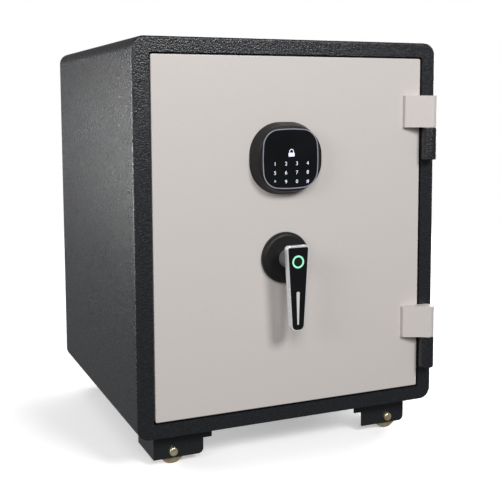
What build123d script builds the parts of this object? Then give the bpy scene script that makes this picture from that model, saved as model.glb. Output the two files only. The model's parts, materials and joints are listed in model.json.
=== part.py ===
from build123d import *
import math
import os

# Free-standing fire-resistant safe on four fixed rollers, with a keypad and a lever handle.
# Millimetres. X runs to the right, Y runs from the front to the back and Z up from the floor.
# The origin is on the floor under the middle of the cabinet.

# ---- driving dimensions: cabinet ----
BODY_W = 431.0
BODY_D = 421.0
BODY_H = 500.0
BODY_R = 16.0            # corners of the cabinet, seen from the front
FLOOR_GAP = 46.0         # floor to the cabinet's underside
SHEET = 2.0              # outer steel sheet
RIM_R = 3.0              # rolled edge round the front face

FRONT = -BODY_D / 2
BACK = BODY_D / 2
MID_Z = FLOOR_GAP + BODY_H / 2

# ---- door and doorway ----
DOOR_W = 384.0
DOOR_H = 457.0
DOOR_R = 2.5
DOOR_GAP = 2.25          # all round the door's edge
DOOR_EDGE = 12.0         # depth of the door's outer flange
PLUG_STEP = 14.0         # how far the door's plug is set in from its edge
PLUG_BACK = FRONT + 60.0
PLUG_W = DOOR_W - 2 * PLUG_STEP
PLUG_H = DOOR_H - 2 * PLUG_STEP
OPENING_W = DOOR_W + 2 * DOOR_GAP
OPENING_H = DOOR_H + 2 * DOOR_GAP
LEDGE_Y = FRONT + 14.0   # face that carries the fire seal
TUNNEL_GAP = 9.0         # the plug's free edge needs 6.8 mm to swing clear
TUNNEL_W = PLUG_W + 2 * TUNNEL_GAP
TUNNEL_H = PLUG_H + 2 * TUNNEL_GAP
TUNNEL_BACK = PLUG_BACK + 2.0

# ---- inside of the cabinet ----
LINER_W = 340.0
LINER_H = 413.0
LINER_R = 6.0
LINER_SHEET = 1.5
LINER_BACK = 150.0
PANEL_BACK = BACK - 3.0  # the back panel is set in from the shell's rear edge
SHELF_TOP = 300.0
SHELF_FRONT = -105.0
SHELF_BACK = 140.0
SHELF_LIP = 18.0

# ---- hinges: the pin stands in front of the frame ----
PIN_X = 200.5
PIN_Y = FRONT - 10.6
PIN_R = 5.5
BARREL_R = 10.0
KNUCKLE_H = 43.0
KNUCKLE_PAD_W = 17.0     # the knuckle's flat foot, welded to the frame
KNUCKLE_PAD_SHIFT = 1.5  # keeps the foot off the door's edge
WASHER_T = 1.0
HINGE_SPLITS = {"upper": 430.5, "lower": 139.5}  # top of each fixed knuckle
LEAF_LEFT = 165.0
LEAF_EDGE = 5.2          # the leaf's thickness at its left end
LEAF_CORNER_R = 1.2
LEAF_RELIEF = 0.6        # gap between the leaf and the frame
HINGE_CHAMFER = 0.8

# ---- bolt work ----
CAVITY_FRONT = FRONT + 34.0   # rear face of the mechanism plate
PLATE_T = 3.0
COVER_T = 1.5
BOLT_Y = FRONT + 44.0
BOLT_R = 9.0
BOLT_ZS = (MID_Z - 120.0, MID_Z + 120.0)
BOLT_THROW = 20.0
BOLT_ROOM = 1.0          # radial room round a bolt in the door's edge
FIXED_TIP = 195.0
STUD_R = 4.0
CARRIER_X = -130.0       # left face of the carrier bar
CARRIER_T = 4.0
CARRIER_HALF = 135.0
ARM_T = 3.0
ARM_Y = FRONT + 40.5     # front face of the carrier's arm
CRANK_R = 19.0
CRANK_PIN_R = 4.0
CRANK_OFFSET = BOLT_THROW / 2  # the pin swings 45 degrees each side of straight down
RUNNING = 0.05           # radial clearance of a running fit

# ---- handle ----
LOCK_X = -14.0
HANDLE_Z = FLOOR_GAP + 219.0
SPINDLE_R = 6.0
ROSETTE_R = 33.5
ROSETTE_T = 8.0
LEVER_FRONT = FRONT - 40.0
LEVER_T = 8.5
LEVER_TOP = 20.8         # above the spindle
LEVER_BOTTOM = 90.0      # below the spindle
LEVER_TOP_W = 33.0
LEVER_BOTTOM_W = 20.0
LEVER_RIM = 2.4
NECK_R = 12.5
SENSOR_R = 6.0
RING_R = 8.2

# ---- keypad ----
KEYPAD_Z = FLOOR_GAP + 348.4
KEYPAD_W = 99.5          # at the door
KEYPAD_H = 93.0
KEYPAD_R = 42.0
KEYPAD_BOW = 3.0         # how far each side bows outwards at its middle
KEYPAD_INSET = 5.5       # the housing narrows by this much on each side towards its front
KEYPAD_D = 18.5
KEYPAD_EDGE = 1.8        # rounding of the housing's front edge
BEZEL_W = 78.5
BEZEL_H = 76.8
BEZEL_R = 22.0
BEZEL_RIM = 1.3
BEZEL_PROUD = 0.2
GLASS_T = 2.0
KEYPAD_WALL = 1.5

# ---- feet and rollers ----
ROLLER_R = 17.5
ROLLER_X = 161.0
ROLLER_HALF = 11.5
ROLLER_Y = 168.5
AXLE_R = 4.0
FOOT_OUTER = 187.5
FOOT_INNER = 119.5
EAR_INNER = 107.5        # the front plate reaches further in than the box behind it
FOOT_FRONT = 184.0
FOOT_BACK = 114.0
TRAY_BACK = 104.0
FOOT_BOTTOM = 9.0
TRAY_BOTTOM = 29.5
FOOT_T = 3.0
FOOT_R = 7.0
REAR_INSET = 10.0        # the rear feet stand this much further in on each side

os.makedirs("parts", exist_ok=True)


def save(piece, label):
    """Name a finished piece and write it."""
    piece.part.label = label
    export_step(piece.part, f"parts/{label}.step")


def facing(y):
    """The plane across the cabinet at depth y. Its normal points out of the front."""
    return Plane.XZ.offset(-y)


def panel(width, height, radius, y_front, y_back, mode=Mode.ADD, x=0.0, z=MID_Z):
    """A rounded rectangle seen from the front, running from y_front back to y_back."""
    with BuildSketch(facing(y_back)) as outline:
        with Locations((x, z)):
            RectangleRounded(width, height, radius)
    extrude(outline.sketch, amount=y_back - y_front, mode=mode)


def block(xs, ys, zs, mode=Mode.ADD):
    """A box between two values on each axis."""
    spans = (xs, ys, zs)
    with Locations(tuple(sum(span) / 2 for span in spans)):
        Box(*(abs(span[1] - span[0]) for span in spans), mode=mode)


def rod_x(y, z, radius, xs, mode=Mode.ADD):
    """A round bar along X."""
    with Locations(Location((sum(xs) / 2, y, z), (0, 90, 0))):
        Cylinder(radius, abs(xs[1] - xs[0]), mode=mode)


def rod_y(x, z, radius, ys, mode=Mode.ADD):
    """A round bar along Y."""
    with Locations(Location((x, sum(ys) / 2, z), (90, 0, 0))):
        Cylinder(radius, abs(ys[1] - ys[0]), mode=mode)


def rod_z(x, y, radius, zs, mode=Mode.ADD):
    """A round bar along Z."""
    with Locations((x, y, sum(zs) / 2)):
        Cylinder(radius, abs(zs[1] - zs[0]), mode=mode)


# ======== cabinet ========

CUP_T = 1.5
LIVE_CUP_R = BOLT_R + 2.0
FIXED_CUP_R = BOLT_R + 4.0   # the fixed bolts swing out of their cups on an arc
TUNNEL_X = TUNNEL_W / 2
CUP_END = TUNNEL_X + 15.0


def bolt_cups(grow, mode=Mode.ADD):
    """The bodies of the four strike cups, grown by the given wall thickness."""
    for z in BOLT_ZS:
        rod_x(BOLT_Y, z, LIVE_CUP_R + grow, (-CUP_END, -TUNNEL_X), mode)
        rod_x(BOLT_Y, z, FIXED_CUP_R + grow, (TUNNEL_X, CUP_END), mode)


with BuildPart() as outer_shell:
    panel(BODY_W, BODY_H, BODY_R, FRONT, BACK)
    fillet(outer_shell.faces().sort_by(Axis.Y)[0].edges(), RIM_R)
    panel(BODY_W - 2 * SHEET, BODY_H - 2 * SHEET, BODY_R - SHEET, FRONT + SHEET, BACK,
          Mode.SUBTRACT)
    panel(OPENING_W, OPENING_H, DOOR_R, FRONT, FRONT + SHEET, Mode.SUBTRACT)
save(outer_shell, "outer_shell")

PANEL_W = BODY_W - 2 * SHEET
PANEL_H = BODY_H - 2 * SHEET
PANEL_FRONT = PANEL_BACK - SHEET
SWAGE_MARGIN = 70.0
SWAGE_T = 1.5
with BuildPart() as back_panel:
    panel(PANEL_W, PANEL_H, BODY_R - SHEET, PANEL_FRONT, PANEL_BACK)
    panel(PANEL_W - SWAGE_MARGIN, PANEL_H - SWAGE_MARGIN, BODY_R, PANEL_BACK,
          PANEL_BACK + SWAGE_T)
    fillet(back_panel.faces().sort_by(Axis.Y)[-1].edges(), SWAGE_T * 0.9)
save(back_panel, "back_panel")

with BuildPart() as door_jamb:
    panel(OPENING_W + 2 * SHEET, OPENING_H + 2 * SHEET, DOOR_R + SHEET, FRONT + SHEET,
          LEDGE_Y + SHEET)
    panel(TUNNEL_W + 2 * SHEET, TUNNEL_H + 2 * SHEET, DOOR_R + SHEET, LEDGE_Y + SHEET,
          TUNNEL_BACK + SHEET)
    panel(OPENING_W, OPENING_H, DOOR_R, FRONT + SHEET, LEDGE_Y, Mode.SUBTRACT)
    panel(TUNNEL_W, TUNNEL_H, DOOR_R, LEDGE_Y, TUNNEL_BACK, Mode.SUBTRACT)
    panel(LINER_W, LINER_H, LINER_R, TUNNEL_BACK, TUNNEL_BACK + SHEET, Mode.SUBTRACT)
    bolt_cups(CUP_T, Mode.SUBTRACT)
save(door_jamb, "door_jamb")

with BuildPart() as strike_cups:
    bolt_cups(CUP_T)
    for z in BOLT_ZS:
        rod_x(BOLT_Y, z, LIVE_CUP_R, (CUP_T - CUP_END, -TUNNEL_X), Mode.SUBTRACT)
        rod_x(BOLT_Y, z, FIXED_CUP_R, (TUNNEL_X, CUP_END - CUP_T), Mode.SUBTRACT)
save(strike_cups, "strike_cups")

LINER_FRONT = TUNNEL_BACK + SHEET
BOARD_GAP = 0.5          # open joint between two insulation boards


def board_frame(hole_w, hole_h, y_front, y_back):
    """Four boards round a hole: top and bottom at full width, the sides between them."""
    across = (-PANEL_W / 2, PANEL_W / 2)
    deep = (y_front, y_back)
    hole_top = MID_Z + hole_h / 2
    hole_bottom = MID_Z - hole_h / 2
    panel(PANEL_W, PANEL_H, BODY_R - SHEET, y_front, y_back)
    block((-hole_w / 2, hole_w / 2), deep, (hole_bottom, hole_top), Mode.SUBTRACT)
    block(across, deep, (hole_top - BOARD_GAP, hole_top), Mode.SUBTRACT)
    block(across, deep, (hole_bottom, hole_bottom + BOARD_GAP), Mode.SUBTRACT)


with BuildPart() as cabinet_insulation:
    board_frame(OPENING_W + 2 * SHEET, OPENING_H + 2 * SHEET, FRONT + SHEET,
                LEDGE_Y + SHEET - BOARD_GAP)
    board_frame(TUNNEL_W + 2 * SHEET, TUNNEL_H + 2 * SHEET, LEDGE_Y + SHEET,
                LINER_FRONT - BOARD_GAP)
    board_frame(LINER_W + 2 * LINER_SHEET, LINER_H + 2 * LINER_SHEET, LINER_FRONT,
                LINER_BACK - BOARD_GAP)
    panel(PANEL_W, PANEL_H, BODY_R - SHEET, LINER_BACK, PANEL_FRONT)
    bolt_cups(CUP_T, Mode.SUBTRACT)
save(cabinet_insulation, "cabinet_insulation")

with BuildPart() as inner_liner:
    panel(LINER_W + 2 * LINER_SHEET, LINER_H + 2 * LINER_SHEET, LINER_R + LINER_SHEET,
          LINER_FRONT, LINER_BACK)
    panel(LINER_W, LINER_H, LINER_R, LINER_FRONT, LINER_BACK - LINER_SHEET, Mode.SUBTRACT)
save(inner_liner, "inner_liner")

SEAL_T = 1.5
SEAL_W = 5.0
SEAL_OUTER = 1.5         # margin between the seal and the opening's edge
SEAL_INNER_R = 1.0
with BuildPart() as jamb_seal:
    panel(OPENING_W - 2 * SEAL_OUTER, OPENING_H - 2 * SEAL_OUTER, DOOR_R - SEAL_OUTER,
          LEDGE_Y - SEAL_T, LEDGE_Y)
    panel(OPENING_W - 2 * (SEAL_OUTER + SEAL_W), OPENING_H - 2 * (SEAL_OUTER + SEAL_W),
          SEAL_INNER_R, LEDGE_Y - SEAL_T, LEDGE_Y, Mode.SUBTRACT)
save(jamb_seal, "jamb_seal")

SHELF_HALF = LINER_W / 2 - 1.0
SHELF_T = 1.5
with BuildPart() as shelf:
    block((-SHELF_HALF, SHELF_HALF), (SHELF_FRONT, SHELF_BACK), (SHELF_TOP - SHELF_T, SHELF_TOP))
    for y_low in (SHELF_FRONT, SHELF_BACK - SHELF_T):
        block((-SHELF_HALF, SHELF_HALF), (y_low, y_low + SHELF_T),
              (SHELF_TOP - SHELF_LIP, SHELF_TOP - SHELF_T))
    fillet(shelf.edges().filter_by(Axis.X).group_by(Axis.Z)[-1], SHELF_T * 0.8)
save(shelf, "shelf")

BRACKET_LONG = 30.0
BRACKET_DEEP = 12.0
BRACKET_T = 2.0
BRACKET_DROP = 16.0
BRACKET_IN = 45.0        # from the shelf's front or rear edge to a bracket's middle
with BuildPart() as shelf_brackets:
    for side in (-1, 1):
        wall = side * LINER_W / 2
        for y in (SHELF_FRONT + BRACKET_IN, SHELF_BACK - BRACKET_IN):
            ys = (y - BRACKET_LONG / 2, y + BRACKET_LONG / 2)
            under = SHELF_TOP - SHELF_T
            block((wall - side * BRACKET_DEEP, wall), ys, (under - BRACKET_T, under))
            block((wall - side * BRACKET_T, wall), ys, (under - BRACKET_DROP, under - BRACKET_T))
save(shelf_brackets, "shelf_brackets")

# ======== hinges ========

WASHER_INSET = 1.0       # the washer's rim is this far inside the barrel
LEAF_GAP = WASHER_T      # the washer fills the space between knuckle and leaf
LEAF_CAP = 4.0           # metal left over the blind pin bore
PIN_END_GAP = 1.0

# the leaf's sloping front is a tangent from its thin left end to the barrel
LEAF_RUN = PIN_X - LEAF_LEFT
LEAF_RISE = FRONT - LEAF_EDGE - PIN_Y
LEAF_SLOPE = math.atan2(LEAF_RISE, LEAF_RUN) + math.asin(BARREL_R / math.hypot(LEAF_RUN, LEAF_RISE))
LEAF_TANGENT = (PIN_X - BARREL_R * math.sin(LEAF_SLOPE), PIN_Y - BARREL_R * math.cos(LEAF_SLOPE))

for place, split in HINGE_SPLITS.items():
    leaf_low = split + LEAF_GAP
    leaf_high = leaf_low + KNUCKLE_H
    with BuildPart() as hinge_knuckle:
        with BuildSketch(Plane.XY.offset(split - KNUCKLE_H)):
            with Locations((PIN_X, PIN_Y)):
                Circle(BARREL_R)
            with Locations((PIN_X + KNUCKLE_PAD_SHIFT, (PIN_Y + FRONT) / 2)):
                Rectangle(KNUCKLE_PAD_W, FRONT - PIN_Y)
        extrude(amount=KNUCKLE_H)
        chamfer(hinge_knuckle.faces().sort_by(Axis.Z)[0].edges().filter_by(GeomType.CIRCLE),
                HINGE_CHAMFER)
        rod_z(PIN_X, PIN_Y, PIN_R, (split - KNUCKLE_H + LEAF_CAP, split), Mode.SUBTRACT)
    save(hinge_knuckle, f"hinge_knuckle_{place}")

    with BuildPart() as hinge_leaf:
        with BuildSketch(Plane.XY.offset(leaf_low)):
            with BuildLine():
                Polyline(
                    (LEAF_LEFT, FRONT),
                    (LEAF_LEFT, FRONT - LEAF_EDGE),
                    LEAF_TANGENT,
                    (PIN_X, PIN_Y),
                    (PIN_X, FRONT - LEAF_RELIEF),
                    (DOOR_W / 2, FRONT - LEAF_RELIEF),
                    (DOOR_W / 2, FRONT),
                    close=True,
                )
            make_face()
            with Locations((PIN_X, PIN_Y)):
                Circle(BARREL_R)
        extrude(amount=KNUCKLE_H)
        front_corner = hinge_leaf.edges().filter_by(Axis.Z).sort_by(
            lambda edge: edge.center().X + edge.center().Y)[0]
        fillet(front_corner, LEAF_CORNER_R)
        rod_z(PIN_X, PIN_Y, PIN_R + RUNNING, (leaf_low, leaf_high - LEAF_CAP), Mode.SUBTRACT)
    save(hinge_leaf, f"hinge_leaf_{place}")

with BuildPart() as hinge_pins:
    for split in HINGE_SPLITS.values():
        top = split + LEAF_GAP + KNUCKLE_H - LEAF_CAP - PIN_END_GAP
        rod_z(PIN_X, PIN_Y, PIN_R, (split - KNUCKLE_H + LEAF_CAP, top))
    chamfer(hinge_pins.faces().filter_by(Axis.Z).edges(), HINGE_CHAMFER)
save(hinge_pins, "hinge_pins")

with BuildPart() as hinge_washers:
    for split in HINGE_SPLITS.values():
        washer = (split, split + WASHER_T)
        rod_z(PIN_X, PIN_Y, BARREL_R - WASHER_INSET, washer)
        rod_z(PIN_X, PIN_Y, PIN_R + RUNNING, washer, Mode.SUBTRACT)
save(hinge_washers, "hinge_washers")

# ======== door ========

PLUG_SHEET = 2.0
CAVITY_W = PLUG_W - 2 * PLUG_SHEET
CAVITY_H = PLUG_H - 2 * PLUG_SHEET
EDGE_BACK = FRONT + DOOR_EDGE
DOOR_RIM_R = 1.5
CABLE_R = 5.0
BUSH_R = 9.0
COVER_FRONT = PLUG_BACK - COVER_T

with BuildPart() as door_skin:
    panel(DOOR_W, DOOR_H, DOOR_R, FRONT, EDGE_BACK)
    fillet(door_skin.faces().sort_by(Axis.Y)[0].edges(), DOOR_RIM_R)
    panel(PLUG_W, PLUG_H, DOOR_R, EDGE_BACK, PLUG_BACK)
    panel(DOOR_W - 2 * SHEET, DOOR_H - 2 * SHEET, DOOR_R - SHEET, FRONT + SHEET,
          EDGE_BACK - SHEET, Mode.SUBTRACT)
    panel(CAVITY_W, CAVITY_H, DOOR_R - PLUG_SHEET, EDGE_BACK - SHEET, PLUG_BACK, Mode.SUBTRACT)
    rod_y(LOCK_X, HANDLE_Z, BUSH_R, (FRONT, FRONT + SHEET), Mode.SUBTRACT)
    rod_y(LOCK_X, KEYPAD_Z, CABLE_R, (FRONT, FRONT + SHEET), Mode.SUBTRACT)
    for z in BOLT_ZS:
        rod_x(BOLT_Y, z, BOLT_R + BOLT_ROOM, (-PLUG_W / 2, -CAVITY_W / 2), Mode.SUBTRACT)
        rod_x(BOLT_Y, z, BOLT_R, (CAVITY_W / 2, PLUG_W / 2), Mode.SUBTRACT)
save(door_skin, "door_skin")

with BuildPart() as door_insulation:
    panel(DOOR_W - 2 * SHEET, DOOR_H - 2 * SHEET, DOOR_R - SHEET, FRONT + SHEET,
          EDGE_BACK - SHEET)
    panel(CAVITY_W, CAVITY_H, DOOR_R - PLUG_SHEET, EDGE_BACK - SHEET, CAVITY_FRONT - PLATE_T)
    rod_y(LOCK_X, HANDLE_Z, BUSH_R, (FRONT, CAVITY_FRONT), Mode.SUBTRACT)
    rod_y(LOCK_X, KEYPAD_Z, CABLE_R, (FRONT, CAVITY_FRONT), Mode.SUBTRACT)
save(door_insulation, "door_insulation")

with BuildPart() as bolt_plate:
    panel(CAVITY_W, CAVITY_H, DOOR_R - PLUG_SHEET, CAVITY_FRONT - PLATE_T, CAVITY_FRONT)
    rod_y(LOCK_X, HANDLE_Z, BUSH_R, (CAVITY_FRONT - PLATE_T, CAVITY_FRONT), Mode.SUBTRACT)
    rod_y(LOCK_X, KEYPAD_Z, CABLE_R, (CAVITY_FRONT - PLATE_T, CAVITY_FRONT), Mode.SUBTRACT)
save(bolt_plate, "bolt_plate")

POST_R = 5.0
SCREW_R = 2.5
SCREW_HOLE_L = 12.0
SCREW_GRIP = 11.0        # how far a screw reaches into its post
POST_XS = (-160.0, 160.0)
POST_ZS = (MID_Z - 195.0, MID_Z, MID_Z + 195.0)
POSTS = [(x, z) for x in POST_XS for z in POST_ZS]

with BuildPart() as cover_posts:
    for x, z in POSTS:
        rod_y(x, z, POST_R, (CAVITY_FRONT, COVER_FRONT))
        rod_y(x, z, SCREW_R, (COVER_FRONT - SCREW_HOLE_L, COVER_FRONT), Mode.SUBTRACT)
save(cover_posts, "cover_posts")

with BuildPart() as door_inner_cover:
    panel(CAVITY_W, CAVITY_H, DOOR_R - PLUG_SHEET, COVER_FRONT, PLUG_BACK)
    for x, z in POSTS:
        rod_y(x, z, SCREW_R, (COVER_FRONT, PLUG_BACK), Mode.SUBTRACT)
save(door_inner_cover, "door_inner_cover")

SCREW_HEAD_R = 4.6
SCREW_HEAD_H = 2.4
SCREW_DOME_R = 1.4
CROSS_SLOT = (4.6, 2.2, 0.9)   # length, depth centred on the head's face, width
with BuildPart() as cover_screws:
    for x, z in POSTS:
        rod_y(x, z, SCREW_HEAD_R, (PLUG_BACK, PLUG_BACK + SCREW_HEAD_H))
    fillet(cover_screws.faces().group_by(Axis.Y)[-1].edges(), SCREW_DOME_R)
    for x, z in POSTS:
        rod_y(x, z, SCREW_R, (COVER_FRONT - SCREW_GRIP, PLUG_BACK))
        for angle in (0, 90):
            with Locations(Location((x, PLUG_BACK + SCREW_HEAD_H, z), (0, angle, 0))):
                Box(*CROSS_SLOT, mode=Mode.SUBTRACT)
save(cover_screws, "cover_screws")

GUIDE_XS = (-172.0, -160.0)
GUIDE_HALF = 16.0
GUIDE_GAP = 1.0          # between a guide and the inner cover
with BuildPart() as bolt_guides:
    for z in BOLT_ZS:
        block(GUIDE_XS, (CAVITY_FRONT, COVER_FRONT - GUIDE_GAP), (z - GUIDE_HALF, z + GUIDE_HALF))
        rod_x(BOLT_Y, z, BOLT_R + RUNNING, GUIDE_XS, Mode.SUBTRACT)
save(bolt_guides, "bolt_guides")

BOLT_CHAMFER = 2.0
BOSS_T = 12.0            # block that carries each fixed bolt
BOSS_MARGIN = 4.0
with BuildPart() as fixed_bolts:
    for z in BOLT_ZS:
        rod_x(BOLT_Y, z, BOLT_R, (CAVITY_W / 2, FIXED_TIP))
    chamfer(fixed_bolts.faces().sort_by(Axis.X)[-2:].edges(), BOLT_CHAMFER)
    for z in BOLT_ZS:
        block((CAVITY_W / 2 - BOSS_T, CAVITY_W / 2), (CAVITY_FRONT, BOLT_Y + BOLT_R),
              (z - BOLT_R - BOSS_MARGIN, z + BOLT_R + BOSS_MARGIN))
save(fixed_bolts, "fixed_bolts")

# ---- electronic lock: a motor lifts a plunger into a notch of the carrier's arm ----

ARM_BOTTOM = HANDLE_Z - 26.0
ARM_TOP = HANDLE_Z + 4.0
PLUNGER_X = -60.0
PLUNGER_R = 3.5
PLUNGER_REST = ARM_BOTTOM - 1.0
PLUNGER_CHAMFER = 0.8
NOTCH_W = 10.0
NOTCH_TOP = ARM_BOTTOM + 9.0
CASE_XS = (PLUNGER_X - 25.0, PLUNGER_X + 25.0)
CASE_YS = (CAVITY_FRONT, CAVITY_FRONT + 19.0)
CASE_ZS = (ARM_BOTTOM - 46.0, ARM_BOTTOM - 4.0)
CASE_WALL = 2.0
CASE_R = 3.0
MOTOR_R = 6.0
MOTOR_SHAFT_R = 1.5
MOTOR_SHAFT_L = 5.0
MOTOR_GAP = 0.5          # between the motor's shaft and the plunger
PLUNGER_Y = ARM_Y + ARM_T / 2
PLUNGER_FOOT = CASE_ZS[1] - 16.0

with BuildPart() as lock_case:
    block(CASE_XS, CASE_YS, CASE_ZS)
    fillet(lock_case.edges().filter_by(Axis.Y), CASE_R)
    block((CASE_XS[0] + CASE_WALL, CASE_XS[1] - CASE_WALL),
          (CASE_YS[0] + CASE_WALL, CASE_YS[1] - CASE_WALL),
          (CASE_ZS[0] + CASE_WALL, CASE_ZS[1] - 3 * CASE_WALL), Mode.SUBTRACT)
    rod_z(PLUNGER_X, PLUNGER_Y, PLUNGER_R + RUNNING, (PLUNGER_FOOT, CASE_ZS[1]), Mode.SUBTRACT)
save(lock_case, "lock_case")

with BuildPart() as lock_motor:
    motor_top = PLUNGER_FOOT - MOTOR_SHAFT_L
    rod_z(PLUNGER_X, PLUNGER_Y, MOTOR_R, (CASE_ZS[0] + CASE_WALL, motor_top))
    rod_z(PLUNGER_X, PLUNGER_Y, MOTOR_SHAFT_R, (motor_top, PLUNGER_FOOT - MOTOR_GAP))
save(lock_motor, "lock_motor")

with BuildPart() as lock_plunger:
    rod_z(PLUNGER_X, PLUNGER_Y, PLUNGER_R, (PLUNGER_FOOT, PLUNGER_REST))
    chamfer(lock_plunger.faces().sort_by(Axis.Z)[-1].edges(), PLUNGER_CHAMFER)
save(lock_plunger, "lock_plunger")

# ---- throwing bolts ----

SLOT_X = LOCK_X + CRANK_OFFSET
SLOT_HALF = CRANK_PIN_R + 0.6    # the coupling's play is taken up here
ARM_PAST_SLOT = 16.0
SLOT_ZS = (HANDLE_Z - 19.8, HANDLE_Z - 4.4)
with BuildPart() as bolt_carrier:
    block((CARRIER_X, CARRIER_X + CARRIER_T), (BOLT_Y - BOLT_R, BOLT_Y + BOLT_R),
          (MID_Z - CARRIER_HALF, MID_Z + CARRIER_HALF))
    block((CARRIER_X + CARRIER_T, SLOT_X + ARM_PAST_SLOT), (ARM_Y, ARM_Y + ARM_T), (ARM_BOTTOM, ARM_TOP))
    block((SLOT_X - SLOT_HALF, SLOT_X + SLOT_HALF), (ARM_Y, ARM_Y + ARM_T), SLOT_ZS,
          Mode.SUBTRACT)
    for x in (PLUNGER_X, PLUNGER_X + BOLT_THROW):
        block((x - NOTCH_W / 2, x + NOTCH_W / 2), (ARM_Y, ARM_Y + ARM_T),
              (ARM_BOTTOM, NOTCH_TOP), Mode.SUBTRACT)
    for z in BOLT_ZS:
        rod_x(BOLT_Y, z, STUD_R, (CARRIER_X, CARRIER_X + CARRIER_T), Mode.SUBTRACT)
save(bolt_carrier, "bolt_carrier")

STUD_END = CARRIER_X + CARRIER_T + 9.0
LIVE_REST = 0.5          # how far the withdrawn bolts stand out of the plug's edge
with BuildPart() as live_bolts:
    for z in BOLT_ZS:
        rod_x(BOLT_Y, z, BOLT_R, (-PLUG_W / 2 - LIVE_REST, CARRIER_X))
    chamfer(live_bolts.faces().sort_by(Axis.X)[:2].edges(), BOLT_CHAMFER)
    for z in BOLT_ZS:
        rod_x(BOLT_Y, z, STUD_R, (CARRIER_X, STUD_END))
save(live_bolts, "live_bolts")

NUT_T = 6.5
NUT_FLATS_R = 6.5
with BuildPart() as bolt_nuts:
    for z in BOLT_ZS:
        with BuildSketch(Plane.YZ.offset(CARRIER_X + CARRIER_T)):
            with Locations((BOLT_Y, z)):
                RegularPolygon(NUT_FLATS_R, 6, major_radius=False)
                Circle(STUD_R, mode=Mode.SUBTRACT)
        extrude(amount=NUT_T)
save(bolt_nuts, "bolt_nuts")

# ======== handle ========

BUSH_FRONT = FRONT - ROSETTE_T + 0.5
ROSETTE_EDGE_R = 5.0
with BuildPart() as rosette:
    rod_y(LOCK_X, HANDLE_Z, ROSETTE_R, (FRONT - ROSETTE_T, FRONT))
    fillet(rosette.faces().sort_by(Axis.Y)[0].edges(), ROSETTE_EDGE_R)
    rod_y(LOCK_X, HANDLE_Z, BUSH_R, (FRONT - ROSETTE_T, FRONT), Mode.SUBTRACT)
save(rosette, "rosette")

with BuildPart() as spindle_bush:
    rod_y(LOCK_X, HANDLE_Z, BUSH_R, (BUSH_FRONT, CAVITY_FRONT))
    rod_y(LOCK_X, HANDLE_Z, SPINDLE_R + RUNNING, (BUSH_FRONT, CAVITY_FRONT), Mode.SUBTRACT)
save(spindle_bush, "spindle_bush")

LEVER_BACK = LEVER_FRONT + LEVER_T
INLAY_T = 2.0
LEVER_TOP_R = 5.0
LEVER_BOTTOM_R = 8.5
LEVER_FRONT_EDGE = 0.8
LEVER_BACK_EDGE = 2.5
SPINDLE_GRIP = 4.0       # how far the spindle reaches into the lever
CRANK_FRONT = CAVITY_FRONT + 0.5
CRANK_BACK = CRANK_FRONT + 4.5


def lever_outline(inset):
    """The tapered paddle seen from the front, drawn inside its edge by the given inset."""
    top = HANDLE_Z + LEVER_TOP - inset
    bottom = HANDLE_Z - LEVER_BOTTOM + inset
    half_top = LEVER_TOP_W / 2 - inset
    half_bottom = LEVER_BOTTOM_W / 2 - inset
    corners = [(-half_top, top), (half_top, top), (half_bottom, bottom), (-half_bottom, bottom)]
    radii = [LEVER_TOP_R - inset] * 2 + [LEVER_BOTTOM_R - inset] * 2
    points = [(LOCK_X + x, z) for x, z in corners]
    with BuildLine() as edge:
        FilletPolyline(*points, radius=radii, close=True)
    make_face(edge.edges())


with BuildPart() as lever_frame:
    with BuildSketch(facing(LEVER_BACK)):
        lever_outline(0.0)
    extrude(amount=LEVER_T)
    fillet(lever_frame.faces().sort_by(Axis.Y)[0].edges(), LEVER_FRONT_EDGE)
    fillet(lever_frame.faces().sort_by(Axis.Y)[-1].edges(), LEVER_BACK_EDGE)
    with BuildSketch(facing(LEVER_FRONT + INLAY_T)):
        lever_outline(LEVER_RIM)
    extrude(amount=INLAY_T, mode=Mode.SUBTRACT)
    rod_y(LOCK_X, HANDLE_Z, SPINDLE_R, (LEVER_BACK - SPINDLE_GRIP, LEVER_BACK), Mode.SUBTRACT)
save(lever_frame, "lever_frame")

BAR_TOP = HANDLE_Z - 38.4
BAR_BOTTOM = HANDLE_Z - 81.0
BAR_TOP_W = 4.6
BAR_BOTTOM_W = 2.2
BAR_TOP_R = 1.8
BAR_BOTTOM_R = 0.9


def light_bar_outline():
    """The tapered light bar in the lower half of the inlay."""
    with BuildLine() as edge:
        FilletPolyline(
            (LOCK_X - BAR_TOP_W / 2, BAR_TOP),
            (LOCK_X + BAR_TOP_W / 2, BAR_TOP),
            (LOCK_X + BAR_BOTTOM_W / 2, BAR_BOTTOM),
            (LOCK_X - BAR_BOTTOM_W / 2, BAR_BOTTOM),
            radius=[BAR_TOP_R, BAR_TOP_R, BAR_BOTTOM_R, BAR_BOTTOM_R],
            close=True,
        )
    make_face(edge.edges())


INLAY_DROP = 0.3         # the inlay sits just below the rim
INLAY_FRONT = LEVER_FRONT + INLAY_DROP
POCKET_T = 1.0
INLAY_POCKET = INLAY_FRONT + POCKET_T
RING_PROUD = 0.2
with BuildPart() as lever_inlay:
    with BuildSketch(facing(LEVER_FRONT + INLAY_T)):
        lever_outline(LEVER_RIM)
    extrude(amount=INLAY_T - INLAY_DROP)
    rod_y(LOCK_X, HANDLE_Z, RING_R, (INLAY_FRONT, INLAY_POCKET), Mode.SUBTRACT)
    with BuildSketch(facing(INLAY_POCKET)):
        light_bar_outline()
    extrude(amount=POCKET_T, mode=Mode.SUBTRACT)
save(lever_inlay, "lever_inlay")

with BuildPart() as sensor_ring:
    rod_y(LOCK_X, HANDLE_Z, RING_R, (INLAY_FRONT - RING_PROUD, INLAY_POCKET))
    rod_y(LOCK_X, HANDLE_Z, SENSOR_R, (INLAY_FRONT - RING_PROUD, INLAY_POCKET), Mode.SUBTRACT)
save(sensor_ring, "sensor_ring")

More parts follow.
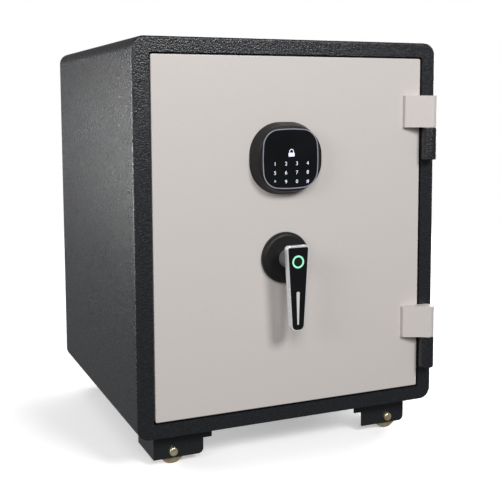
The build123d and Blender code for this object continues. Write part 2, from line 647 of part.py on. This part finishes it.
with BuildPart() as fingerprint_sensor:
    rod_y(LOCK_X, HANDLE_Z, SENSOR_R, (INLAY_FRONT, INLAY_POCKET))
save(fingerprint_sensor, "fingerprint_sensor")

with BuildPart() as lever_light_bar:
    with BuildSketch(facing(INLAY_POCKET)):
        light_bar_outline()
    extrude(amount=POCKET_T)
save(lever_light_bar, "lever_light_bar")

NECK_BACK = FRONT - ROSETTE_T - 0.3
NECK_EDGE_R = 1.0
with BuildPart() as handle_neck:
    rod_y(LOCK_X, HANDLE_Z, NECK_R, (LEVER_BACK, NECK_BACK))
    fillet(handle_neck.faces().sort_by(Axis.Y)[-1].edges(), NECK_EDGE_R)
    rod_y(LOCK_X, HANDLE_Z, SPINDLE_R, (LEVER_BACK, NECK_BACK), Mode.SUBTRACT)
save(handle_neck, "handle_neck")

with BuildPart() as handle_spindle:
    rod_y(LOCK_X, HANDLE_Z, SPINDLE_R, (LEVER_BACK - SPINDLE_GRIP, CRANK_BACK))
save(handle_spindle, "handle_spindle")

CRANK_PIN_END = ARM_Y + ARM_T + 2.0
with BuildPart() as bolt_crank:
    rod_y(LOCK_X, HANDLE_Z, CRANK_R, (CRANK_FRONT, CRANK_BACK))
    rod_y(LOCK_X, HANDLE_Z, SPINDLE_R, (CRANK_FRONT, CRANK_BACK), Mode.SUBTRACT)
    rod_y(LOCK_X + CRANK_OFFSET, HANDLE_Z - CRANK_OFFSET, CRANK_PIN_R,
          (CRANK_BACK, CRANK_PIN_END))
save(bolt_crank, "bolt_crank")

# ======== keypad ========

KEYPAD_FRONT = FRONT - KEYPAD_D
POCKET_BACK = KEYPAD_FRONT + GLASS_T
HOLLOW_FRONT = POCKET_BACK + KEYPAD_WALL


def pillow(y, width, height, radius):
    """The keypad's outline at depth y: a rounded rectangle whose sides bow outwards."""
    side, top = width / 2, height / 2
    corner_x, corner_z = side - KEYPAD_BOW, top - KEYPAD_BOW
    stops = [(-corner_x, corner_z), (0, top), (corner_x, corner_z), (side, 0),
             (corner_x, -corner_z), (0, -top), (-corner_x, -corner_z), (-side, 0)]
    points = [(LOCK_X + x, KEYPAD_Z + z) for x, z in stops]
    with BuildSketch(facing(y)) as outline:
        with BuildLine() as edge:
            for start in range(0, len(points), 2):
                ThreePointArc(points[start], points[start + 1], points[(start + 2) % len(points)])
        make_face(edge.edges())
        fillet(outline.vertices(), radius)
    return outline.sketch


def keypad_layer(inset, y_front, y_back, mode=Mode.ADD):
    """A slab of the glass's outline, drawn inside the bezel's edge by the given inset."""
    outline = pillow(y_back, BEZEL_W - 2 * inset, BEZEL_H - 2 * inset, BEZEL_R - inset)
    extrude(outline, amount=y_back - y_front, mode=mode)


with BuildPart() as keypad_housing:
    loft(sections=[
        pillow(y, KEYPAD_W - 2 * inset, KEYPAD_H - 2 * inset, KEYPAD_R - inset).face()
        for y, inset in ((FRONT, 0.0), (KEYPAD_FRONT, KEYPAD_INSET))
    ])
    fillet(keypad_housing.faces().sort_by(Axis.Y)[0].edges(), KEYPAD_EDGE)
    hollow_inset = KEYPAD_INSET + KEYPAD_WALL
    extrude(pillow(FRONT, KEYPAD_W - 2 * hollow_inset, KEYPAD_H - 2 * hollow_inset,
                   KEYPAD_R - hollow_inset), amount=FRONT - HOLLOW_FRONT, mode=Mode.SUBTRACT)
    keypad_layer(0.0, KEYPAD_FRONT, POCKET_BACK, Mode.SUBTRACT)
save(keypad_housing, "keypad_housing")

with BuildPart() as keypad_bezel:
    keypad_layer(0.0, KEYPAD_FRONT - BEZEL_PROUD, POCKET_BACK)
    keypad_layer(BEZEL_RIM, KEYPAD_FRONT - BEZEL_PROUD, POCKET_BACK, Mode.SUBTRACT)
save(keypad_bezel, "keypad_bezel")

with BuildPart() as keypad_glass:
    keypad_layer(BEZEL_RIM, KEYPAD_FRONT, POCKET_BACK)
save(keypad_glass, "keypad_glass")

BOARD_W = 66.0
BOARD_H = 62.0
BOARD_R = 22.0
BOARD_T = 1.6
BOARD_FRONT = HOLLOW_FRONT + 0.5
with BuildPart() as keypad_circuit_board:
    panel(BOARD_W, BOARD_H, BOARD_R, BOARD_FRONT, BOARD_FRONT + BOARD_T, x=LOCK_X, z=KEYPAD_Z)
save(keypad_circuit_board, "keypad_circuit_board")

CELL_R = 5.2
CELL_L = 44.5
CELL_TIP_R = 2.0
CELL_TIP_L = 1.0
CELL_PITCH = 2 * CELL_R + 0.4
CELL_Y = FRONT - 2.0 - CELL_R
HOLDER_HALF_X = 2 * CELL_PITCH + 1.5
HOLDER_HALF_Z = CELL_L / 2 + 2.0
CELL_SHOULDER = KEYPAD_Z + CELL_L / 2 - CELL_TIP_L
CELL_XS = [LOCK_X + (index - 1.5) * CELL_PITCH for index in range(4)]
with BuildPart() as battery_holder:
    block((LOCK_X - HOLDER_HALF_X, LOCK_X + HOLDER_HALF_X), (CELL_Y, FRONT - 0.5),
          (KEYPAD_Z - HOLDER_HALF_Z, KEYPAD_Z + HOLDER_HALF_Z))
    for x in CELL_XS:
        rod_z(x, CELL_Y, CELL_R, (KEYPAD_Z - CELL_L / 2, KEYPAD_Z + CELL_L / 2), Mode.SUBTRACT)
save(battery_holder, "battery_holder")

with BuildPart() as batteries:
    for x in CELL_XS:
        rod_z(x, CELL_Y, CELL_R, (KEYPAD_Z - CELL_L / 2, CELL_SHOULDER))
    for x in CELL_XS:
        rod_z(x, CELL_Y, CELL_TIP_R, (CELL_SHOULDER, CELL_SHOULDER + CELL_TIP_L))
save(batteries, "batteries")

# ======== feet and rollers ========

AXLE_Z = ROLLER_R
CHEEK_YS = (FOOT_FRONT - 28.0, FOOT_FRONT - 31.0)   # rear cheek
CHEEK_HALF = 18.0
PLACES = {
    "front_left": (-1, -1, 0.0),
    "front_right": (1, -1, 0.0),
    "rear_left": (-1, 1, REAR_INSET),
    "rear_right": (1, 1, REAR_INSET),
}
GROOVE_R = 1.1
ROLLER_EDGE_R = 1.2
CUT_PAST = 1.0           # how far a cut runs past a face

for place, (sx, sy, inset) in PLACES.items():
    outer_x = sx * (FOOT_OUTER - inset)
    inner_x = sx * (FOOT_INNER - inset)
    ear_x = sx * (EAR_INNER - inset)
    roller_x = sx * (ROLLER_X - inset)
    wall_x = outer_x - sx * FOOT_T
    front_ys = (sy * FOOT_FRONT, sy * (FOOT_FRONT - FOOT_T))
    inner_ys = (sy * (FOOT_FRONT - FOOT_T), sy * (TRAY_BACK + FOOT_T))
    with BuildPart() as foot:
        # shallow box under the cabinet, open below
        block((inner_x, outer_x), (sy * FOOT_FRONT, sy * TRAY_BACK), (TRAY_BOTTOM, FLOOR_GAP))
        # deep front plate and outer wall, with the corner towards +X rounded
        with BuildSketch(facing(sy * (FOOT_FRONT + FOOT_BACK) / 2)) as cheek:
            with Locations(((outer_x + inner_x) / 2, (FOOT_BOTTOM + FLOOR_GAP) / 2)):
                Rectangle(FOOT_OUTER - FOOT_INNER, FLOOR_GAP - FOOT_BOTTOM)
            fillet(cheek.vertices().sort_by(Axis.Y)[:2].sort_by(Axis.X)[-1], FOOT_R)
        extrude(cheek.sketch, amount=(FOOT_FRONT - FOOT_BACK) / 2, both=True)
        block((inner_x + sx * FOOT_T, wall_x), inner_ys, (TRAY_BOTTOM, FLOOR_GAP - FOOT_T),
              Mode.SUBTRACT)
        block((inner_x - sx * CUT_PAST, wall_x), inner_ys, (FOOT_BOTTOM - CUT_PAST, TRAY_BOTTOM),
              Mode.SUBTRACT)
        # ear that carries the front plate inwards
        block((ear_x, inner_x), front_ys, (TRAY_BOTTOM, FLOOR_GAP))
        block((roller_x - CHEEK_HALF, roller_x + CHEEK_HALF), tuple(sy * y for y in CHEEK_YS),
              (FOOT_BOTTOM, FLOOR_GAP - FOOT_T))
        rod_y(roller_x, AXLE_Z, AXLE_R, (sy * FOOT_FRONT, sy * CHEEK_YS[1]), Mode.SUBTRACT)
    save(foot, f"foot_{place}")

    centre = sy * ROLLER_Y
    width = (centre - ROLLER_HALF, centre + ROLLER_HALF)
    with BuildPart() as roller:
        rod_y(roller_x, AXLE_Z, ROLLER_R, width)
        fillet(roller.edges().filter_by(GeomType.CIRCLE), ROLLER_EDGE_R)
        for shift in (-1, 1):
            with Locations(Location((roller_x, centre + shift * ROLLER_HALF / 3, AXLE_Z),
                                    (90, 0, 0))):
                Torus(ROLLER_R, GROOVE_R, mode=Mode.SUBTRACT)
        rod_y(roller_x, AXLE_Z, AXLE_R + RUNNING, width, Mode.SUBTRACT)
    save(roller, f"roller_{place}")

AXLES = [(sx * (ROLLER_X - inset), sy) for sx, sy, inset in PLACES.values()]
HEAD_R = 6.0
HEAD_H = 3.8
HEAD_DOME_R = 2.4
AXLE_END = CHEEK_YS[1] - 8.0
with BuildPart() as axle_bolts:
    for x, sy in AXLES:
        rod_y(x, AXLE_Z, HEAD_R, (sy * FOOT_FRONT, sy * (FOOT_FRONT + HEAD_H)))
    fillet(axle_bolts.faces().group_by(Axis.Y)[0].edges(), HEAD_DOME_R)
    fillet(axle_bolts.faces().group_by(Axis.Y)[-1].edges(), HEAD_DOME_R)
    for x, sy in AXLES:
        rod_y(x, AXLE_Z, AXLE_R, (sy * AXLE_END, sy * FOOT_FRONT))
save(axle_bolts, "axle_bolts")

with BuildPart() as axle_nuts:
    for x, sy in AXLES:
        near, far = sorted((sy * CHEEK_YS[1], sy * (CHEEK_YS[1] - NUT_T)))
        with BuildSketch(facing(far)):
            with Locations((x, AXLE_Z)):
                RegularPolygon(NUT_FLATS_R, 6, major_radius=False)
                Circle(AXLE_R, mode=Mode.SUBTRACT)
        extrude(amount=far - near)
save(axle_nuts, "axle_nuts")
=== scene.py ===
import json
import math

import bmesh
import bpy
from mathutils import Matrix, Vector


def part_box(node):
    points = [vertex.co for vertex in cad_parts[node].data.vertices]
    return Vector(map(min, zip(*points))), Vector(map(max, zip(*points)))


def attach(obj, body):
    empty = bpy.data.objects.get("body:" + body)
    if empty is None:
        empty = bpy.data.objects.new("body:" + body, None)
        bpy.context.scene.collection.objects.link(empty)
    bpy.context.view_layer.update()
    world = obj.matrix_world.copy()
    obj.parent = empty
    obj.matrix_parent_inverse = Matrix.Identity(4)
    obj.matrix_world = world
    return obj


# Looks of a fire-resistant safe. Metres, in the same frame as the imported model: X to the right,
# Y from the front to the back, Z up from the floor.

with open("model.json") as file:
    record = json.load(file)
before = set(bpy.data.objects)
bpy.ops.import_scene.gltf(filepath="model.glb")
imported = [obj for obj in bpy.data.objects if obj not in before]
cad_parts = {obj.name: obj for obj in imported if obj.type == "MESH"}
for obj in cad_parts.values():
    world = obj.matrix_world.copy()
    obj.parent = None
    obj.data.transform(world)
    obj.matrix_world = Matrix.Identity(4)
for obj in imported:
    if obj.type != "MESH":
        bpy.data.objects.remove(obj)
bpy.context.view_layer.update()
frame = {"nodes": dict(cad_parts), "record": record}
nodes = frame["nodes"]
scene = bpy.context.scene
scene.view_settings.view_transform = "Standard"

MM = 0.001


def middle(node):
    """The centre of a CAD node's box."""
    low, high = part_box(node)
    return (Vector(low) + Vector(high)) / 2


# ---------------------------------------------------------------- camera

CAMERA_AT = (-0.5094, -1.2485, 0.4601)
CAMERA_TURN = 23.28      # degrees to the right of looking along +Y
CAMERA_DROP = 5.51       # degrees below the horizon
CAMERA_ROLL = -0.25      # degrees
CAMERA_LENS = 64.2       # focal length in millimetres
CAMERA_SHIFT = -0.114    # keeps the uprights nearly parallel, as a shift lens does


def make_camera():
    data = bpy.data.cameras.new("camera")
    data.lens = CAMERA_LENS
    data.shift_y = CAMERA_SHIFT
    camera = bpy.data.objects.new("camera", data)
    scene.collection.objects.link(camera)
    turn = Matrix.Rotation(math.radians(-CAMERA_TURN), 4, "Z")
    drop = Matrix.Rotation(math.radians(90 - CAMERA_DROP), 4, "X")
    roll = Matrix.Rotation(math.radians(CAMERA_ROLL), 4, "Z")
    camera.matrix_world = Matrix.Translation(CAMERA_AT) @ turn @ drop @ roll
    scene.camera = camera


make_camera()

# ---------------------------------------------------------------- material tools

MIDDLE_FROM = 0.3        # noise lies mostly between these two values
MIDDLE_TO = 0.7


class Shader:
    """A Principled material built up from textures in object space."""

    def __init__(self, name, colour, roughness, metallic=0.0):
        self.material = bpy.data.materials.new(name)
        self.material.use_nodes = True
        self.tree = self.material.node_tree
        self.bsdf = self.tree.nodes["Principled BSDF"]
        self.bsdf.inputs["Base Color"].default_value = (*colour, 1.0)
        self.bsdf.inputs["Roughness"].default_value = roughness
        self.bsdf.inputs["Metallic"].default_value = metallic
        self.coordinates = self.tree.nodes.new("ShaderNodeTexCoord").outputs["Object"]
        self.last_normal = None

    def put(self, socket, value):
        """Set or link one of the shader's own sockets."""
        if isinstance(value, bpy.types.NodeSocket):
            self.tree.links.new(value, self.bsdf.inputs[socket])
        else:
            self.bsdf.inputs[socket].default_value = value

    def stretched(self, scale):
        """Object coordinates scaled by (x, y, z), for grain that runs one way."""
        node = self.tree.nodes.new("ShaderNodeMapping")
        node.inputs["Scale"].default_value = scale
        self.tree.links.new(self.coordinates, node.inputs["Vector"])
        return node.outputs["Vector"]

    def noise(self, size, detail=3.0, vector=None):
        """Noise between 0 and 1 whose features are about size metres across."""
        node = self.tree.nodes.new("ShaderNodeTexNoise")
        node.inputs["Scale"].default_value = 1.0 / size
        node.inputs["Detail"].default_value = detail
        self.tree.links.new(vector or self.coordinates, node.inputs["Vector"])
        return node.outputs["Fac"]

    def cells(self, size):
        """The distance to the nearest of many points about size metres apart."""
        node = self.tree.nodes.new("ShaderNodeTexVoronoi")
        node.inputs["Scale"].default_value = 1.0 / size
        self.tree.links.new(self.coordinates, node.inputs["Vector"])
        return node.outputs["Distance"]

    def ramp(self, factor, stops):
        """A colour ramp. Each stop is (position, colour)."""
        node = self.tree.nodes.new("ShaderNodeValToRGB")
        elements = node.color_ramp.elements
        while len(elements) < len(stops):
            elements.new(1.0)
        for element, (position, colour) in zip(elements, stops):
            element.position = position
            element.color = (*colour, 1.0)
        self.tree.links.new(factor, node.inputs["Fac"])
        return node.outputs["Color"]

    def spread(self, factor, low, high, from_low=MIDDLE_FROM, from_high=MIDDLE_TO):
        """The factor between from_low and from_high, stretched to run from low to high."""
        node = self.tree.nodes.new("ShaderNodeMapRange")
        node.inputs["From Min"].default_value = from_low
        node.inputs["From Max"].default_value = from_high
        node.inputs["To Min"].default_value = low
        node.inputs["To Max"].default_value = high
        self.tree.links.new(factor, node.inputs["Value"])
        return node.outputs["Result"]

    def tint(self, factor, dark, light):
        """A colour that runs from dark to light as the factor goes through its middle range."""
        return self.ramp(factor, ((MIDDLE_FROM, dark), (MIDDLE_TO, light)))

    def bump(self, height, depth, strength=1.0):
        """Add relief of the given depth in metres, on top of any relief before it."""
        node = self.tree.nodes.new("ShaderNodeBump")
        node.inputs["Strength"].default_value = strength
        node.inputs["Distance"].default_value = depth
        self.tree.links.new(height, node.inputs["Height"])
        if self.last_normal:
            self.tree.links.new(self.last_normal, node.inputs["Normal"])
        self.last_normal = node.outputs["Normal"]
        self.put("Normal", self.last_normal)


def shade(colour, factor):
    """A colour made lighter or darker."""
    return tuple(channel * factor for channel in colour)


# ---------------------------------------------------------------- materials

PEBBLE = 0.0020          # size of the cabinet paint's pebbles


def powder_coat(name, colour, grain, depth, contrast, roughness):
    """Baked powder paint: a fine skin of raised grains, some of them lighter or darker."""
    look = Shader(name, colour, roughness)
    speck = look.noise(grain, detail=2.0)
    look.put("Base Color", look.tint(speck, shade(colour, 1 - contrast), shade(colour, 1 + contrast)))
    patches = look.noise(grain * 1.7)
    look.put("Roughness", look.spread(patches, low=roughness - 0.07, high=roughness + 0.10))
    waves = look.noise(0.05, detail=2.0)
    look.bump(waves, depth * 0.6, strength=0.3)
    look.bump(look.noise(grain, detail=2.0), depth)
    return look


def cabinet_paint():
    """Charcoal paint whose pebbles glint where a light strikes them squarely."""
    look = powder_coat(
        "cabinet_paint", (0.013, 0.014, 0.017), PEBBLE, depth=0.00016, contrast=0.40, roughness=0.29
    )
    pebbles = look.spread(look.cells(PEBBLE), low=1.0, high=0.0, from_low=0.0, from_high=0.8)
    look.bump(pebbles, depth=0.00032)
    return look.material


def door_paint():
    look = powder_coat(
        "door_paint", (0.62, 0.58, 0.558), grain=0.0016, depth=0.00003, contrast=0.012, roughness=0.38
    )
    return look.material


def inner_paint():
    look = powder_coat(
        "inner_paint", (0.36, 0.365, 0.37), grain=0.0015, depth=0.00005, contrast=0.04, roughness=0.45
    )
    return look.material


def neck_grey():
    look = powder_coat(
        "neck_grey", (0.22, 0.22, 0.222), grain=0.0009, depth=0.00002, contrast=0.06, roughness=0.34
    )
    return look.material


def insulation():
    look = Shader("insulation", (0.62, 0.60, 0.55), roughness=0.9)
    grit = look.noise(0.0025, detail=6.0)
    look.put("Base Color", look.tint(grit, dark=(0.48, 0.46, 0.42), light=(0.72, 0.70, 0.66)))
    look.bump(grit, depth=0.0006)
    return look.material


def seal():
    look = Shader("seal", (0.03, 0.03, 0.032), roughness=0.75)
    weave = look.noise(0.0008, detail=4.0)
    look.put("Base Color", look.tint(weave, dark=(0.018, 0.018, 0.020), light=(0.05, 0.05, 0.052)))
    look.bump(weave, depth=0.0001)
    return look.material


def turned_steel(name, colour, roughness, drawn):
    """Machined metal with fine tool marks. drawn is how the marks are stretched along each axis."""
    look = Shader(name, colour, roughness, metallic=1.0)
    marks = look.noise(0.0006, vector=look.stretched(drawn))
    look.put("Base Color", look.tint(marks, shade(colour, 0.82), shade(colour, 1.08)))
    wear = look.noise(0.006)
    look.put("Roughness", look.spread(wear, low=roughness - 0.05, high=roughness + 0.12))
    look.bump(marks, depth=0.00002)
    return look


def bare_steel():
    return turned_steel("bare_steel", (0.52, 0.52, 0.53), roughness=0.28, drawn=(0.06, 1.0, 1.0)).material


def brass():
    return turned_steel("brass", (0.72, 0.55, 0.26), roughness=0.30, drawn=(1.0, 1.0, 0.1)).material


def zinc_steel():
    """Yellow-passivated zinc, whose thin film drifts between straw, rose and green."""
    look = turned_steel("zinc_steel", (0.72, 0.60, 0.34), roughness=0.24, drawn=(1.0, 0.2, 1.0))
    film = look.noise(0.012, detail=2.0)
    look.put("Base Color", look.ramp(film, (
        (0.32, (0.80, 0.50, 0.40)),
        (0.47, (0.88, 0.72, 0.42)),
        (0.58, (0.70, 0.70, 0.44)),
        (0.70, (0.92, 0.80, 0.58)),
    )))
    look.put("Metallic", 0.85)
    return look.material


def chrome():
    look = Shader("chrome", (0.93, 0.93, 0.94), roughness=0.20, metallic=0.5)
    look.put("Roughness", look.spread(look.noise(0.008, detail=5.0), low=0.16, high=0.28))
    drift = look.noise(0.02)
    look.put("Base Color", look.tint(drift, dark=(0.88, 0.88, 0.89), light=(0.96, 0.96, 0.97)))
    return look.material


def bezel_metal():
    look = Shader("bezel_metal", (0.62, 0.60, 0.72), roughness=0.20, metallic=0.6)
    look.put("Roughness", look.spread(look.noise(0.006, detail=4.0), low=0.12, high=0.26))
    drift = look.noise(0.01)
    look.put("Base Color", look.tint(drift, dark=(0.52, 0.50, 0.61), light=(0.66, 0.64, 0.76)))
    return look.material


def satin_black():
    look = Shader("satin_black", (0.009, 0.009, 0.010), roughness=0.45)
    grain = look.noise(0.0006, detail=2.0)
    look.put("Base Color", look.tint(grain, dark=(0.006, 0.006, 0.007), light=(0.012, 0.012, 0.013)))
    look.put("Roughness", look.spread(look.noise(0.015), low=0.40, high=0.52))
    look.put("Specular IOR Level", 0.3)
    look.bump(grain, depth=0.000012)
    return look.material


def black_gloss(name, colour, roughness, smear):
    """Polished black plastic or glass with faint hand marks."""
    look = Shader(name, colour, roughness)
    marks = look.noise(0.018, detail=4.0)
    look.put("Roughness", look.spread(marks, low=roughness, high=roughness + smear))
    look.put("Base Color", look.tint(look.noise(0.03), colour, shade(colour, 1.5)))
    look.put("Specular IOR Level", 0.12)
    look.put("Coat Weight", 0.15)
    look.put("Coat Roughness", 0.04)
    return look.material


def glowing(name, colour, glow, mottle=0.08):
    """A diffuser lit from behind, a little uneven."""
    look = Shader(name, colour, roughness=0.4)
    uneven = look.tint(look.noise(0.002, detail=2.0), shade(colour, 1 - mottle), colour)
    look.put("Base Color", uneven)
    look.put("Emission Color", uneven)
    look.put("Emission Strength", glow)
    return look.material


def circuit_board():
    look = Shader("circuit_board", (0.02, 0.14, 0.06), roughness=0.4)
    tracks = look.cells(0.004)
    look.put("Base Color", look.tint(tracks, dark=(0.05, 0.22, 0.09), light=(0.012, 0.10, 0.04)))
    look.bump(tracks, depth=0.00005)
    return look.material


def battery():
    look = Shader("battery", (0.05, 0.055, 0.06), roughness=0.3, metallic=0.6)
    band = look.noise(0.02, detail=1.0, vector=look.stretched((0.0, 0.0, 1.0)))
    look.put("Base Color", look.ramp(band, ((0.45, (0.04, 0.045, 0.05)), (0.55, (0.55, 0.40, 0.20)))))
    return look.material


LOOKS = {
    "cabinet_paint": cabinet_paint(),
    "door_paint": door_paint(),
    "inner_paint": inner_paint(),
    "neck_grey": neck_grey(),
    "insulation": insulation(),
    "seal": seal(),
    "bare_steel": bare_steel(),
    "zinc_steel": zinc_steel(),
    "brass": brass(),
    "chrome": chrome(),
    "bezel_metal": bezel_metal(),
    "satin_black": satin_black(),
    "gloss_black": black_gloss("gloss_black", (0.006, 0.006, 0.007), roughness=0.10, smear=0.08),
    "touch_glass": black_gloss("touch_glass", (0.005, 0.006, 0.007), roughness=0.06, smear=0.08),
    "sensor": black_gloss("sensor", (0.010, 0.013, 0.011), roughness=0.12, smear=0.10),
    "ring_light": glowing("ring_light", (0.32, 0.88, 0.58), glow=0.50, mottle=0.25),
    "light_bar": glowing("light_bar", (0.64, 0.64, 0.63), glow=0.05),
    "circuit_board": circuit_board(),
    "battery": battery(),
}
GLYPH_LIGHT = glowing("glyph_light", (0.78, 0.78, 0.95), glow=0.55)


def dress_nodes():
    """Give every CAD node the look of its material slot."""
    for part in frame["record"]["subparts"]:
        mesh = nodes[part["node"]].data
        mesh.materials.clear()
        mesh.materials.append(LOOKS[part["material_slot"]])


dress_nodes()

# ---------------------------------------------------------------- keypad legends

GLASS = middle("keypad_glass")
GLASS_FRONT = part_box("keypad_glass")[0][1]
LEGEND_UP = 0.08 * MM    # how far the printed legends stand off the glass
KEY_PITCH_X = 15.4 * MM
KEY_PITCH_Z = 11.5 * MM
KEY_ROWS = ("1234", "5678", "*90#")
KEY_HEIGHT = 6.6 * MM
FIRST_ROW = -6.3 * MM    # below the middle of the glass
KEYS_RIGHT = 1.0 * MM    # the legends stand this far right of the middle
NAMES = {"*": "star", "#": "hash"}


def on_glass(right, up):
    """Where a flat shape drawn in X and Y goes, to lie on the front of the glass."""
    place = Vector((GLASS.x + right, GLASS_FRONT, GLASS.z + up))
    return Matrix.Translation(place) @ Matrix.Rotation(math.radians(90), 4, "X")


def legend(mesh, name, place):
    """Make a mesh in XY into a piece on the glass."""
    mesh.transform(place)
    mesh.materials.append(GLYPH_LIGHT)
    piece = bpy.data.objects.new(name, mesh)
    scene.collection.objects.link(piece)
    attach(piece, "door")


def key_legend(character, right, up):
    curve = bpy.data.curves.new("key", "FONT")
    curve.body = character
    curve.size = KEY_HEIGHT
    curve.align_x = "CENTER"
    curve.align_y = "CENTER"
    curve.extrude = LEGEND_UP
    text = bpy.data.objects.new("key", curve)
    scene.collection.objects.link(text)
    graph = bpy.context.evaluated_depsgraph_get()
    mesh = bpy.data.meshes.new_from_object(text.evaluated_get(graph))
    bpy.data.objects.remove(text)
    legend(mesh, f"key_{NAMES.get(character, character)}", on_glass(right, up))


for row, characters in enumerate(KEY_ROWS):
    for column, character in enumerate(characters):
        from_middle = column - (len(characters) - 1) / 2
        across = KEYS_RIGHT + from_middle * KEY_PITCH_X
        key_legend(character, across, FIRST_ROW - row * KEY_PITCH_Z)


def prism(outline, mesh_builder):
    """Raise a closed outline in XY to the height of the printed legends."""
    lower = [mesh_builder.verts.new((x, y, 0.0)) for x, y in outline]
    upper = [mesh_builder.verts.new((x, y, LEGEND_UP)) for x, y in outline]
    mesh_builder.faces.new(upper)
    mesh_builder.faces.new(lower[::-1])
    for index in range(len(outline)):
        after = (index + 1) % len(outline)
        mesh_builder.faces.new((lower[index], lower[after], upper[after], upper[index]))


CORNER_STEPS = 6         # straight pieces in a rounded corner


def rounded(width, height, radius):
    """The outline of a rounded rectangle about the origin."""
    points = []
    for quarter, (sx, sy) in enumerate(((1, 1), (-1, 1), (-1, -1), (1, -1))):
        for step in range(CORNER_STEPS + 1):
            angle = math.radians(90) * (quarter + step / CORNER_STEPS)
            x = sx * (width / 2 - radius) + radius * math.cos(angle)
            y = sy * (height / 2 - radius) + radius * math.sin(angle)
            points.append((x, y))
    return points


PADLOCK_W = 8.4 * MM
PADLOCK_H = 4.8 * MM
PADLOCK_R = 0.9 * MM
SHACKLE_R = 3.1 * MM
SHACKLE_T = 0.85 * MM
SHACKLE_LEG = 1.6 * MM   # straight part of the shackle above the block
SHACKLE_STEPS = 16       # straight pieces in its half circle
PADLOCK_UP = 5.2 * MM    # above the middle of the glass


def padlock_legend():
    """A plain padlock sign: a rounded block under a half-round shackle."""
    build = bmesh.new()
    prism(rounded(PADLOCK_W, PADLOCK_H, PADLOCK_R), build)
    arc = [math.radians(180) * step / SHACKLE_STEPS for step in range(SHACKLE_STEPS + 1)]
    outer = [(SHACKLE_R * math.cos(a), SHACKLE_R * math.sin(a)) for a in arc]
    inner_r = SHACKLE_R - SHACKLE_T
    inner = [(inner_r * math.cos(a), inner_r * math.sin(a)) for a in reversed(arc)]
    base = PADLOCK_H / 2
    feet = [(-SHACKLE_R, -SHACKLE_LEG), (-inner_r, -SHACKLE_LEG)]
    ends = [(inner_r, -SHACKLE_LEG), (SHACKLE_R, -SHACKLE_LEG)]
    loop = outer + feet + inner + ends
    prism([(x, y + base + SHACKLE_LEG) for x, y in loop], build)
    mesh = bpy.data.meshes.new("padlock_sign")
    build.to_mesh(mesh)
    build.free()
    legend(mesh, "padlock_sign", on_glass(KEYS_RIGHT, PADLOCK_UP))


padlock_legend()

# ---------------------------------------------------------------- studio


def area_light(name, place, target, size, power, height=None):
    """A soft light that no camera sees: a disc, or an ellipse where its height is given."""
    data = bpy.data.lights.new(name, "AREA")
    data.shape = "ELLIPSE"
    data.size = size
    data.size_y = height or size
    data.energy = power
    light = bpy.data.objects.new(name, data)
    scene.collection.objects.link(light)
    light.visible_camera = False
    light.location = place
    aim = Vector(target) - Vector(place)
    light.rotation_euler = aim.to_track_quat("-Z", "Y").to_euler()


DOOR_MIDDLE = (0.0, -0.2, 0.32)
LEFT_SIDE = (-0.2, 0.0, 0.37)
RIGHT_SIDE = (0.2, 0.0, 0.25)
BACK = (0.0, 0.2, 0.3)

area_light("key_light", (0.50, -2.1, 1.50), DOOR_MIDDLE, size=0.65, power=29.0)
area_light("front_light", (-0.75, -2.3, 1.55), DOOR_MIDDLE, size=1.1, power=21.0)
area_light("fill_light", (-1.9, -1.2, 1.0), DOOR_MIDDLE, size=0.9, power=11.0)
# low and wide, so that it grazes the side without glaring on the top
area_light("side_light", (-1.9, 1.0, 0.37), LEFT_SIDE, size=2.0, power=36.0, height=0.35)
area_light("right_light", (1.9, 1.0, 0.90), RIGHT_SIDE, size=1.6, power=52.0)
area_light("back_light", (1.3, 2.4, 0.95), BACK, size=1.5, power=32.0)

WHITE = (1.0, 1.0, 1.0, 1.0)
BACKDROP = 1.0           # what the camera sees behind the object
AMBIENT = 0.15           # what the surroundings give to the object


def make_world():
    """A white backdrop that lights the object less than it shows."""
    world = bpy.data.worlds.new("studio")
    scene.world = world
    world.use_nodes = True
    tree = world.node_tree
    background = tree.nodes["Background"]
    background.inputs["Color"].default_value = WHITE
    rays = tree.nodes.new("ShaderNodeLightPath")
    level = tree.nodes.new("ShaderNodeMapRange")
    level.inputs["To Min"].default_value = AMBIENT
    level.inputs["To Max"].default_value = BACKDROP
    tree.links.new(rays.outputs["Is Camera Ray"], level.inputs["Value"])
    tree.links.new(level.outputs["Result"], background.inputs["Strength"])


make_world()

FLOOR_R = 3.0
FLOOR_SIDES = 96
FLOOR_GLOW = 0.35
FADE_FROM = FLOOR_R * 0.25
FADE_TO = FLOOR_R * 0.8


def make_floor():
    """A round pale floor that fades into the backdrop towards its edge."""
    mesh = bpy.data.meshes.new("floor")
    build = bmesh.new()
    bmesh.ops.create_circle(build, cap_ends=True, segments=FLOOR_SIDES, radius=FLOOR_R)
    build.to_mesh(mesh)
    build.free()
    floor = bpy.data.objects.new("floor", mesh)
    scene.collection.objects.link(floor)
    look = Shader("floor", (0.90, 0.90, 0.90), roughness=0.85)
    look.put("Emission Color", WHITE)
    look.put("Emission Strength", FLOOR_GLOW)
    tree = look.tree
    distance = tree.nodes.new("ShaderNodeVectorMath")
    distance.operation = "LENGTH"
    tree.links.new(look.coordinates, distance.inputs[0])
    fade = look.spread(distance.outputs["Value"], 1.0, 0.0, FADE_FROM, FADE_TO)
    look.put("Alpha", fade)
    mesh.materials.append(look.material)
    floor.visible_diffuse = False
    floor.visible_glossy = False


make_floor()
